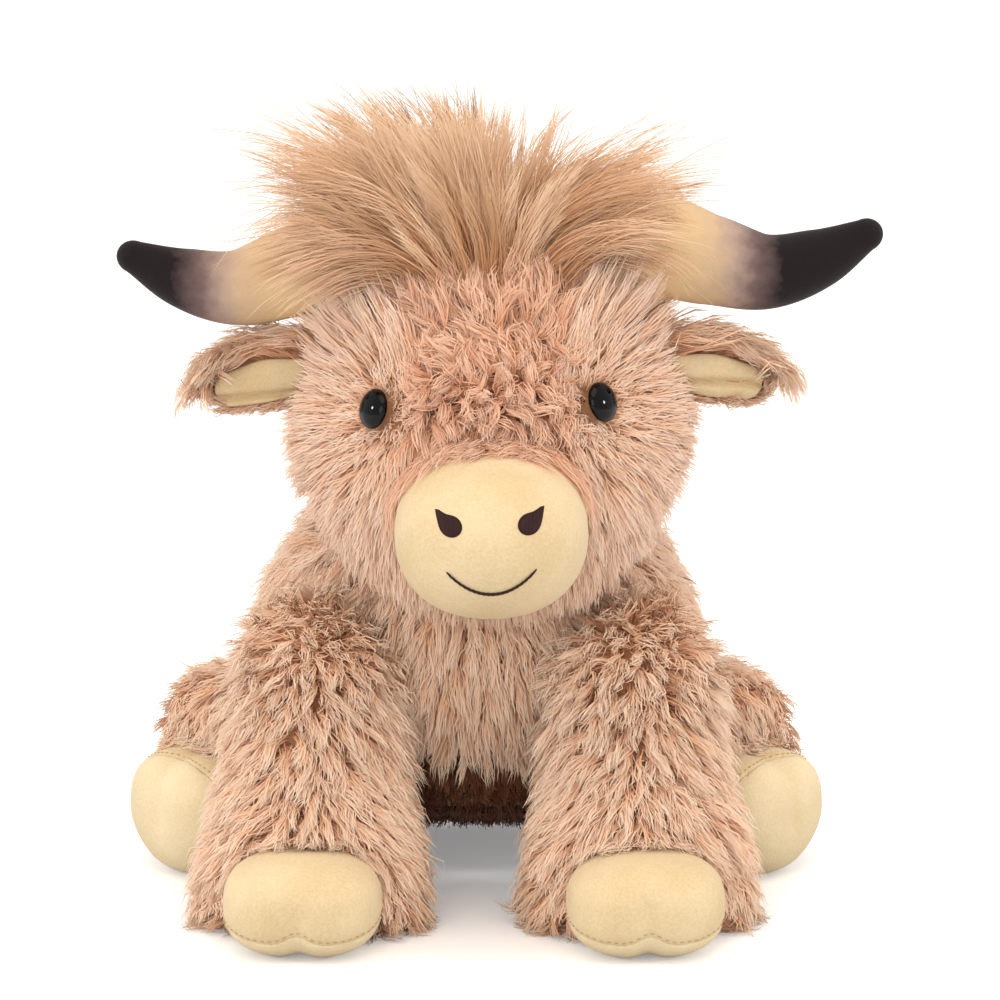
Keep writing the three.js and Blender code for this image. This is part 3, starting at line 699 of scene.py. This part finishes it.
def horn_finish(word):
    settings = {"Roughness": 0.85, "Specular IOR Level": 0.2, "Sheen Weight": 0.1}
    finish, tree, shader = new_finish(f"dip_dyed_velour_{word}", settings)
    place, _ = add_nap(tree, shader, 1100.0)
    bleed = add_node(tree, "ShaderNodeTexNoise", {"Vector": place, "Scale": 160.0, "Detail": 4.0})
    parts = add_node(tree, "ShaderNodeSeparateXYZ", {"Vector": place}).outputs
    spread = add_node(tree, "ShaderNodeMath", {0: bleed.outputs["Fac"], 1: 0.010 * sides[word], 2: parts["X"]},
                      operation="MULTIPLY_ADD")
    start, end = dye_ends[word]
    reach = end - start
    share = add_node(tree, "ShaderNodeMapRange", {"Value": spread.outputs[0], "From Min": start - 2 * reach,
                                                  "From Max": end + reach})
    colour = add_ramp(tree, share.outputs["Result"],
                      [(0.22, "#ebcb99"), (0.86, "#1b1315"), (0.44, "#d6b793"), (0.57, "#b59c8d"), (0.7, "#735e5c")])
    tree.links.new(colour, shader.inputs["Base Color"])
    return finish


for word, side in sides.items():
    line = [(side * x + 1000 * horn_shift, y, z) for x, y, z in horn_line]
    form = swept_form(in_metres(line), horn_halves, horn_caps, Vector((0, 1, 0)), rows=72, cap_share=0.14,
                      place=head_place)
    horn = add_piece(f"horn_tube_{word}", form, horn_finish(word), f"{word} horn")
    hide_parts(f"horn_{word}", f"horn_{word}_filling")

# Ears: small leaves of fur fabric with a cream velour lining in front, folded once where they are sewn in.
# Each lining is a padded panel of its own, with the fold as a crease along it.

ear_line = [(68, 2, 24), (84, 2, 22), (98, 2, 19)]
ear_halves = in_metres([(3.5, 5), (3.5, 7), (3.5, 5)])
ear_rise = {"left": 3, "right": 0}  # the ear on the left is sewn on a little higher


def ear_groom(side):
    def groom(place, normal):
        up = normal[:, 2:]
        flow = np.concatenate([side + 0 * up, 0.1 * normal[:, 1:2], 0.25 + 0.45 * up + 0.4 * np.maximum(up, 0)], 1)
        above = np.clip(0.6 + normal[:, 2], 0, 1.4)
        return {"flow": flow, "length": 0.014 + 0.011 * above**2, "lift": 0.7, "lay": 0.1, "curl": 0.15, "turns": 0.6,
                "swirl": 0.4, "droop": 0.04, "density": (normal[:, 1] > -0.45) * 1.0}

    return groom


for word, side in sides.items():
    line = [(side * x, y, z + ear_rise[word]) for x, y, z in ear_line]
    form = swept_form(in_metres(line), ear_halves, (0.008, 0.008), Vector((0, 1, 0)), around=28, rows=28,
                      place=head_place)
    ear = add_piece(f"ear_backing_{word}", form, backing, f"{word} ear")
    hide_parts(f"ear_{word}")
    lining_line = in_metres([(side * (x + 3), y - 4.5, z + ear_rise[word]) for x, y, z in ear_line])
    grow(f"ear_pile_{word}", ear, f"{word} ear", fur, ear_groom(side), 9000, per_lock=14, clump=0.7, seed=31 + side,
         face_on=0.9)
    form = swept_form(lining_line, in_metres([(2.2, 6), (3.0, 8.5), (2.6, 7)]), (0.006, 0.007),
                      Vector((0, 1, 0)), around=40, rows=32)
    for vertex in form.verts:
        fold = vertex.co.z - 0.0195 + 0.045 * (abs(vertex.co.x) - 0.084)
        vertex.co.y += 0.0042 * math.exp(-((fold / 0.0014) ** 2)) * (vertex.co.y < lining_line[0][1])
        vertex.co = head_place @ vertex.co
    lining = add_piece(f"ear_lining_panel_{word}", form, velour, f"{word} ear")
    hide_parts(f"ear_{word}_lining")

# Legs: fur sleeves over filling. The front pair hangs from the shoulders to the floor, the hind pair lies
# splayed beside the seat. Each ends in a stuffed velour hoof with a cleft toe and a paler sole.

# Degrees and millimetres, each pair in the frame of its own joint: how far it splays, whether it lies down,
# the middle and half sizes of its hoof, and the line, half widths and end caps of its sleeve
legs = {
    "front": {"splay": 4, "lie": 0, "joint": "front_leg_swing", "hoof": (0, -66, -72.8), "hoof_half": (31, 30, 20),
              "line": [(0, 0, 0), (0, -14, -36), (0, -30, -66), (0, -36, -84)],
              "halves": [(34, 34), (39, 37), (46, 41), (48, 41)], "caps": (0.034, 0.018), "strands": 25000},
    "hind": {"splay": 50, "lie": -90, "joint": "hind_leg_lift", "hoof": (0, 19, -42), "hoof_half": (31, 25, 20),
             "line": [(0, 0, 0), (0, 0, -14), (0, 0, -28)],
             "halves": [(45, 45), (43, 44), (40, 42)], "caps": (0.045, 0.016), "strands": 15000},
}


heel_taper = 0.3
hoof_power = 2.6  # a hoof is boxier than the muzzle
seam = Vector((0, 0, -0.004))
seam_up = Matrix.Rotation(math.radians(14), 3, "X") @ Vector((0, 0, 1))  # the sole's seam slopes to the toe


def seam_peak(corner):
    # The seam rises to a peak over the cleft at the toe
    return 0.0035 * math.exp(-((corner.x / 0.006) ** 2)) * (corner.y < 0)


def hoof_skin(direction, hoof_half):
    total = sum((abs(part) / half) ** hoof_power for part, half in zip(direction, hoof_half))
    ahead = min(max((-direction.y - direction.z - 0.2) / 0.8, 0), 1)
    cleft = 0.09 * ahead**2 * (3 - 2 * ahead) * math.exp(-((direction.x / 0.2) ** 2))
    corner = direction * total ** (-1 / hoof_power) * (1 - cleft)
    behind_middle = min(max(corner.y / hoof_half.y, 0), 1)
    corner.x *= 1 - heel_taper * behind_middle**2 * (3 - 2 * behind_middle)
    return corner


def hoof_form(middle, half, place):
    # The upper and the sole: one stuffed form, drawn in and cut at the seam
    form = bmesh.new()
    bmesh.ops.create_uvsphere(form, u_segments=72, v_segments=48, radius=1)
    for vertex in form.verts:
        corner = hoof_skin(vertex.co.normalized(), half)
        above_seam = (corner - seam).dot(seam_up) - seam_peak(corner)
        vertex.co = corner * (1 - 0.02 * math.exp(-((above_seam / 0.0012) ** 2)))
        vertex.co.z -= seam_peak(corner)
    parts = []
    for sign in (1, -1):
        part = form.copy()
        everything = part.verts[:] + part.edges[:] + part.faces[:]
        bmesh.ops.bisect_plane(part, geom=everything, plane_co=seam, plane_no=seam_up, clear_inner=sign > 0,
                               clear_outer=sign < 0)
        bmesh.ops.holes_fill(part, edges=part.edges)
        for vertex in part.verts:
            vertex.co.z += seam_peak(vertex.co)
            vertex.co = place @ (vertex.co + middle)
            vertex.co.z = max(vertex.co.z, 0.0001)
        parts.append(part)
    form.free()
    return parts


stitch_rise, stitch_count, stitch_share, stitch_half = 0.0016, 64, 0.55, 0.00025
# Spun polyester thread: duller than the embroidery, a tan line against the cream
hoof_thread = new_finish("golden_polyester_thread", {"Roughness": 0.6, "Base Color": linear("#c49a5e")})[0]


def seam_point(turn, half):
    # The place on the hoof just above the seam, found by halving
    low, high = -0.95, 0.8
    for _ in range(24):
        level = (low + high) / 2
        flat = math.sqrt(1 - level**2)
        corner = hoof_skin(Vector((flat * math.cos(turn), flat * math.sin(turn), level)), half)
        if (corner - seam).dot(seam_up) - seam_peak(corner) < stitch_rise:
            low = level
        else:
            high = level
    return corner


def hoof_stitches(middle, half, place):
    form = bmesh.new()
    step = 2 * math.pi / stitch_count
    for i in range(stitch_count):
        start, end = (seam_point(turn * step, half) for turn in (i, i + stitch_share))
        lie = (end - start).to_track_quat("Z", "Y").to_matrix().to_4x4()
        size = Matrix.Diagonal((stitch_half, stitch_half, (end - start).length / 2, 1))
        bmesh.ops.create_uvsphere(form, u_segments=6, v_segments=5, radius=1,
                                  matrix=place @ Matrix.Translation(middle + (start + end) / 2) @ lie @ size)
    return form


def leg_groom(place_of_leg, middle, half, kind):
    back = np.array(place_of_leg.inverted())

    def groom(place, normal):
        own = place @ back[:3, :3].T + back[:3, 3]
        near_hoof = np.linalg.norm((own - np.array(middle)) / (np.array(half) * 0.95), axis=1)
        if kind == "front":
            low = np.clip((0.085 - place[:, 2:]) / 0.05, 0, 1)
            top = np.clip((place[:, 2:] - 0.07) / 0.03, 0, 1)
            over_hoof = np.clip((1.5 - near_hoof[:, None]) / 0.4, 0, 1)
            aside = own[:, :1] / 0.03 * (0.45 + 0.5 * low) * (1 - 0.8 * over_hoof)
            flow = np.concatenate([aside, -0.1 - 0.9 * top - 0.8 * over_hoof, 0.4 * top - 1], 1)
            curly, length, hang = shoulders(place), 0.024 - 0.010 * over_hoof[:, 0], 0
            erect = 0.4 * top[:, 0]
        else:
            flow = np.array(place_of_leg.to_3x3() @ Vector((0, 0, -1))) + normal * [0.3, 0.3, 0] + [0, 0, -0.35]
            hang = np.clip((1.6 - near_hoof) / 0.3, 0, 1)
            curly, length, erect = 0, 0.019 + 0.007 * hang, 0
        return {"flow": flow, "length": length, "lift": 0.95 - 0.65 * hang + erect, "lay": 0.52 - 0.42 * hang + erect,
                "curl": 0.35 + 0.25 * curly, "turns": 0.75 + 0.25 * curly, "swirl": 0.4 + 0.3 * curly,
                "droop": 0.35 + 0.4 * hang, "density": (near_hoof > 1) * (place[:, 2] > 0.002)}

    return groom


for kind, leg in legs.items():
    for word, side in sides.items():
        body = f"{word} {kind} leg"
        place = Matrix.Translation(joint_place(f"{word}_{leg['joint']}"))
        place = place @ Matrix.Rotation(math.radians(side * leg["splay"]), 4, "Z")
        place = place @ Matrix.Rotation(math.radians(leg["lie"]), 4, "X")
        caps = [cap - pile_depth for cap in leg["caps"]]
        form = swept_form(in_metres(leg["line"]), drawn_in(in_metres(leg["halves"]), pile_depth), caps,
                          Vector((1, 0, 0)), place=place)
        for vertex in form.verts:
            vertex.co.z = max(vertex.co.z, seat_level)
        sleeve = add_piece(f"{kind}_sleeve_{word}", form, backing, body)
        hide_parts(f"{kind}_leg_{word}", f"{kind}_leg_{word}_filling")
        hoof_middle, hoof_half = (Vector(leg[key]) * 0.001 for key in ("hoof", "hoof_half"))
        upper_form, sole_form = hoof_form(hoof_middle, hoof_half, place)
        upper = add_piece(f"{kind}_hoof_upper_{word}", upper_form, velour, body)
        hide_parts(f"{kind}_hoof_{word}")
        sole = add_piece(f"{kind}_hoof_sole_{word}", sole_form, sole_velour, body)
        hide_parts(f"{kind}_sole_{word}")
        stitch_form = hoof_stitches(hoof_middle, hoof_half, place)
        stitches = add_piece(f"{kind}_hoof_stitching_{word}", stitch_form, hoof_thread, body)
        groom = leg_groom(place, hoof_middle, hoof_half, kind)
        grow(f"{kind}_leg_pile_{word}", sleeve, body, fur, groom, leg["strands"], clump=0.7, pull=0.25, face_on=0.9,
             seed=41 + side + len(kind), over=[upper, sole])

# Forelock: a wefted tuft of long straight hair on the crown, parted in the middle. It stands up and fans out,
# and its outer locks fall over the horns.

# Acrylic hair: straight and glossy for a pile, ginger and darker at the root, which is painted shade where it crowds,
# and paler at the tips
hair = pile_finish("long_straight_acrylic_hair", "#a0633c", "#edb98d", "#ffe5c6", "#c6a98c", "#ffffff")
weft_middle = Vector((0.001, -0.014, 0.060))
fan_headings = (-98, -88, -72, -47, -26, -4, 9, 16, 30, 55, 73, 82, 92)  # degrees from upright, to each side
fan_reaches = (84, 88, 96, 112, 104, 92, 66, 94, 76, 104, 100, 66, 50)  # and how long the hair is there, in mm
locks_per_tress, strands_per_lock = 7, 24
top_level = 0.3295  # strands that would stand higher are shortened to about this
stray_share = 0.05


def fan_locks(tresses, steps, chance):
    # Each tress starts steep and bends over to its own side; those at the front lean forward, the rest back.
    heading = chance.uniform(-94, 68, (tresses, 1))
    depth = chance.uniform(-1, 1, (tresses, 1))
    bend = chance.normal(1, 0.3, (tresses, 1))
    reach = 0.001 * np.interp(heading, fan_headings, fan_reaches) * chance.uniform(0.64, 1.06, (tresses, 1))
    wave = chance.random((tresses, 1)) * 2 * math.pi
    # Each tress is lighter or darker at random: painted highlight and shade between the tresses
    dye = chance.random((tresses, 1))
    parts = [np.repeat(part, locks_per_tress, axis=0) for part in (heading, depth, bend, reach, wave, dye)]
    heading, depth, bend, reach, wave, dye = parts
    count = len(heading)
    fan = np.radians(heading + chance.normal(0, 4.5, (count, 1)))
    depth = depth + chance.normal(0, 0.12, (count, 1))
    reach = reach * chance.uniform(0.86, 1.05, (count, 1))
    low = np.clip((np.abs(heading) - 45) / 30, 0, 1)
    lean = np.radians(chance.normal(0, 2.5, (count, 1)) - 11 - 27 * depth) * (1 - 0.55 * low)
    root = np.concatenate([0.020 * np.sin(fan) + chance.normal(0, 0.003, (count, 1)), 0.017 * depth,
                           -0.004 * depth**2 + chance.normal(0, 0.001, (count, 1))], 1) + np.array(weft_middle)
    share = np.linspace(0, 1, steps + 1)[None, :]
    angle = fan * (0.35 + 1.15 * bend * share**1.2) + 0.25 * np.sin(wave + 4.5 * share) * share
    sag = lean + (0.12 + 0.03 * low) * share
    ahead = np.stack([np.sin(angle), -np.sin(sag), np.cos(angle) * np.cos(sag)], 2)
    line = np.cumsum(unit(ahead), axis=1) * (reach / steps)[:, None]
    line = root[:, None] + line - line[:, :1]
    line = line @ np.array(head_place)[:3, :3].T + np.array(head_place)[:3, 3]
    faced = np.concatenate([0 * depth, np.where(depth < 0.75, -1, 1), 0.5 + 0 * depth], 1)
    return line, dye[:, 0], unit(line[:, -1] - line[:, 0]) * 0.4 + faced


def grow_forelock(name, tresses, seed):
    chance = np.random.default_rng(seed)
    locks, tress_highlight_and_shade, outward = fan_locks(tresses, 9, chance)
    owner = np.repeat(np.arange(len(locks)), strands_per_lock)
    spread = chance.normal(0, 0.0020, (len(owner), 1, 3))
    share = np.linspace(0, 1, locks.shape[1])[None, :, None]
    stray = chance.random((len(owner), 1, 1)) < stray_share
    own_length = chance.uniform(0.62, 1.0, (len(owner), 1, 1)) + 0.2 * stray
    line = locks[owner, :1] + (locks[owner] - locks[owner, :1]) * own_length + spread * (1 - 0.8 * share)
    line = line + (0.0008 + 0.005 * stray) * chance.normal(size=spread.shape) * share
    line = line + 0.0005 * chance.normal(size=spread.shape) * np.sin(3 * math.pi * share)
    height = line[:, :, 2].max(1)[:, None, None] - line[:, :1, 2:]
    room = top_level - 0.014 * chance.random((len(owner), 1, 1)) - line[:, :1, 2:]
    line = line[:, :1] + (line - line[:, :1]) * np.minimum(1, room / height)
    # Whole tresses lighter or darker at random are painted highlight and shade; the smaller shares are each lock's and
    # strand's own tone.
    dye = 0.6 * tress_highlight_and_shade[owner] + 0.18 * chance.random(len(locks))[owner] + 0.2 * chance.random(len(owner))
    pile = add_pile(name, "head", hair, line, dye, unit(outward)[owner], 0.00038, chance)
    return pile


forelock = grow_forelock("forelock_hair", 60, 51)
grow_forelock("forelock_hair_behind", 52, 52)
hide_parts("forelock")

# Tail: a thin tube of the fur fabric, lightly stuffed and sewn into the rump, from which it hangs. A tuft of
# the forelock's long hair is sewn in at its end.

tail_root = joint_place("tail_swing")
tail_line = in_metres([(0, 0, 0), (0, 16, -10), (0, 22, -36), (0, 21, -58)])
form = swept_form(tail_line, in_metres([(5, 5), (4, 4), (4, 4), (4, 4)]), (0.005, 0.004), Vector((1, 0, 0)),
                  around=16, rows=32, place=Matrix.Translation(tail_root))
tail = add_piece("tail_tube", form, backing, "tail")
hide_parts("tail")


tuft_level = tail_root.z - 0.044


def tail_groom(place, normal):
    return {"flow": np.array([[0, 0.1, -1.0]]) + 0 * place, "length": 0.009, "lift": 0.4, "lay": 0.1, "curl": 0.15,
            "turns": 0.5, "swirl": 0.1, "droop": 0.2, "density": np.ones(len(place))}


grow("tail_pile", tail, "tail", fur, tail_groom, 3000, seed=61)


def tuft_groom(place, normal):
    end = place[:, 2] < tuft_level
    return {"flow": np.array([[0, 0.0, -1.0]]) + 0 * place, "length": 0.034, "lift": 0.35, "lay": -0.1, "curl": 0.1,
            "turns": 0.5, "swirl": 0.1, "droop": 0.1, "density": end * 1.0}


tuft = grow("tail_tuft_hair", tail, "tail", hair, tuft_groom, 4000, steps=6, seed=62)
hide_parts("tail_tuft")

# Stage: a sheet of white paper under soft studio light. The camera, gloss and glass see the paper white, and
# the light that it throws back on the toy is a little less. A warm lamp hangs overhead, with one in front and
# one at each side.

stage_form = bmesh.new()
bmesh.ops.create_grid(stage_form, x_segments=1, y_segments=1, size=6)
paper, paper_tree, paper_shader = new_finish("white_paper", {"Roughness": 1, "Emission Color": linear("#ffffff")})
seen = add_node(paper_tree, "ShaderNodeLightPath").outputs
direct = add_node(paper_tree, "ShaderNodeMath", {0: seen["Is Camera Ray"], 1: seen["Is Glossy Ray"]},
                  operation="MAXIMUM")
direct = add_node(paper_tree, "ShaderNodeMath", {0: direct.outputs[0], 1: seen["Is Transmission Ray"]},
                  operation="MAXIMUM")
paper_colour = add_ramp(paper_tree, direct.outputs[0], [(0.0, "#d0d0d0"), (1.0, "#ffffff")])
glow_strength = 0.24  # what the lit paper lacks of white to the camera
glow = add_node(paper_tree, "ShaderNodeMath", {0: direct.outputs[0], 1: glow_strength}, operation="MULTIPLY")
paper_tree.links.new(paper_colour, paper_shader.inputs["Base Color"])
paper_tree.links.new(glow.outputs[0], paper_shader.inputs["Emission Strength"])
mesh = bpy.data.meshes.new("floor")
stage_form.to_mesh(mesh)
stage_form.free()
mesh.materials.append(paper)
floor = bpy.data.objects.new("floor", mesh)
bpy.context.scene.collection.objects.link(floor)

world = bpy.data.worlds.new("studio")
bpy.context.scene.world = world
world.use_nodes = True
world.node_tree.nodes["Background"].inputs["Color"].default_value = (1, 1, 1, 1)
world.node_tree.nodes["Background"].inputs["Strength"].default_value = 0.85


def add_light(name, place, target, size, power, code):
    lamp = bpy.data.lights.new(name, "AREA")
    lamp.shape, lamp.size, lamp.energy, lamp.color = "DISK", size, power, linear(code)[:3]
    thing = bpy.data.objects.new(name, lamp)
    thing.location = place
    thing.rotation_euler = (Vector(target) - Vector(place)).to_track_quat("-Z", "Y").to_euler()
    bpy.context.scene.collection.objects.link(thing)


add_light("overhead", (0, -0.8, 2.5), (0, 0, 0), 2.2, 20, "#ffdfba")
add_light("front", (-0.6, -2.6, 1.0), (0, 0, 0.15), 1.6, 12, "#ffffff")
for side in sides.values():
    add_light("key", (2.2 * side, -0.6, 0.85), (0, 0, 0.2), 0.3, 11, "#ffffff")

# Camera: a long lens at the photograph's viewing angle, 3 m from the toy and looking down on it by 12.7 degrees.
# The small shift puts the toy where it stands in the frame.

distance, azimuth, elevation = 3.0, math.radians(0.24), math.radians(12.7)
pixels_per_metre = 2497
camera = bpy.data.cameras.new("camera")
frame_width = 1000  # pixels
camera.sensor_width = 36
camera.lens = pixels_per_metre * distance * 36 / frame_width
camera.shift_x, camera.shift_y = 0.0047, 0.0105
viewer = bpy.data.objects.new("camera", camera)
towards_viewer = Vector((math.sin(azimuth) * math.cos(elevation), -math.cos(azimuth) * math.cos(elevation),
                         math.sin(elevation)))
viewer.location = Vector((0, 0, 0.15)) + towards_viewer * distance
viewer.rotation_euler = towards_viewer.to_track_quat("Z", "Y").to_euler()
bpy.context.scene.collection.objects.link(viewer)
bpy.context.scene.camera = viewer
bpy.context.scene.view_settings.view_transform = "Standard"
